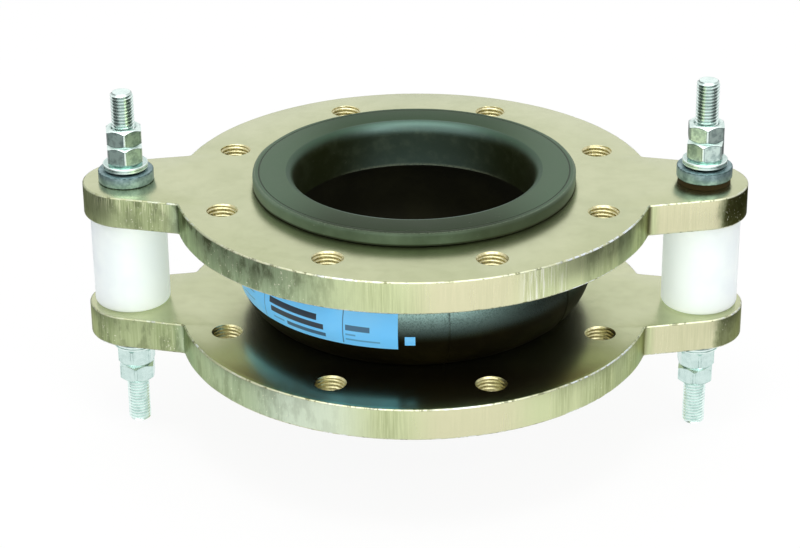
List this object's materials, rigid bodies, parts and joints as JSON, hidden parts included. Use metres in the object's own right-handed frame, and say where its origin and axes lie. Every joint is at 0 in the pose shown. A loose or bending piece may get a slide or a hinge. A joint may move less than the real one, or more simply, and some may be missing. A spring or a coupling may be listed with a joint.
{
  "type": "rubber expansion joint",
  "caption": "Tied pipe expansion joint: a moulded rubber bellows between two eared steel flanges, held by tie rods with ball washers, nuts and spacer sleeves.",
  "frame": {"origin": "centre of the lower flange's outer face, on the pipe's axis", "axes": "+Z along the pipe from the lower flange to the upper one, X through both tie rods, Y across"},
  "size_m": [0.348, 0.25, 0.1975],
  "materials": {
    "zinc_plate": "yellow-green chromated zinc, glossy, with cut marks on the rim",
    "rubber": "moulded, satin",
    "sleeve": "white moulded plastic, smooth",
    "rod": "bright zinc, threaded",
    "nut": "bright zinc",
    "seat": "grey zinc, matt",
    "ball_washer": "bright zinc, turned",
    "packing": "dark, matt"
  },
  "bodies": {
    "lower": {"lower_flange": "zinc_plate", "bellows": "rubber", "left_sleeve": "sleeve", "right_sleeve": "sleeve", "left_lower_seat": "seat", "right_lower_seat": "seat"},
    "upper": {"upper_flange": "zinc_plate", "left_upper_seat": "seat", "right_upper_seat": "seat", "right_packing_washer": "packing"},
    "left_rod": {"left_tie_rod": "rod", "left_lower_ball_washer": "ball_washer", "left_lower_nut": "nut", "left_lower_lock_nut": "nut", "left_upper_ball_washer": "ball_washer", "left_upper_nut": "nut", "left_upper_lock_nut": "nut"},
    "right_rod": {"right_tie_rod": "rod", "right_lower_ball_washer": "ball_washer", "right_lower_nut": "nut", "right_lower_lock_nut": "nut", "right_upper_ball_washer": "ball_washer", "right_upper_nut": "nut", "right_upper_lock_nut": "nut"}
  },
  "joints": [
    {"name": "sideways_shift", "type": "slide", "parent": "lower", "child": "upper", "axis": [0, 1, 0], "range_m": [-0.006, 0.006], "stiffness_N_per_m": 120000, "deforming": ["bellows"]},
    {"name": "left_rod_swing", "type": "hinge", "parent": "lower", "child": "left_rod", "pos_m": [-0.151, 0, -0.01976], "axis": [1, 0, 0], "range_deg": [-3, 3]},
    {"name": "right_rod_swing", "type": "hinge", "parent": "lower", "child": "right_rod", "pos_m": [0.151, 0, -0.01976], "axis": [1, 0, 0], "range_deg": [-3, 3]}
  ],
  "couplings": [
    {"joint": "left_rod_swing", "follows": "sideways_shift", "rad_per_m": -7.9669},
    {"joint": "right_rod_swing", "follows": "sideways_shift", "rad_per_m": -7.7736}
  ]
}
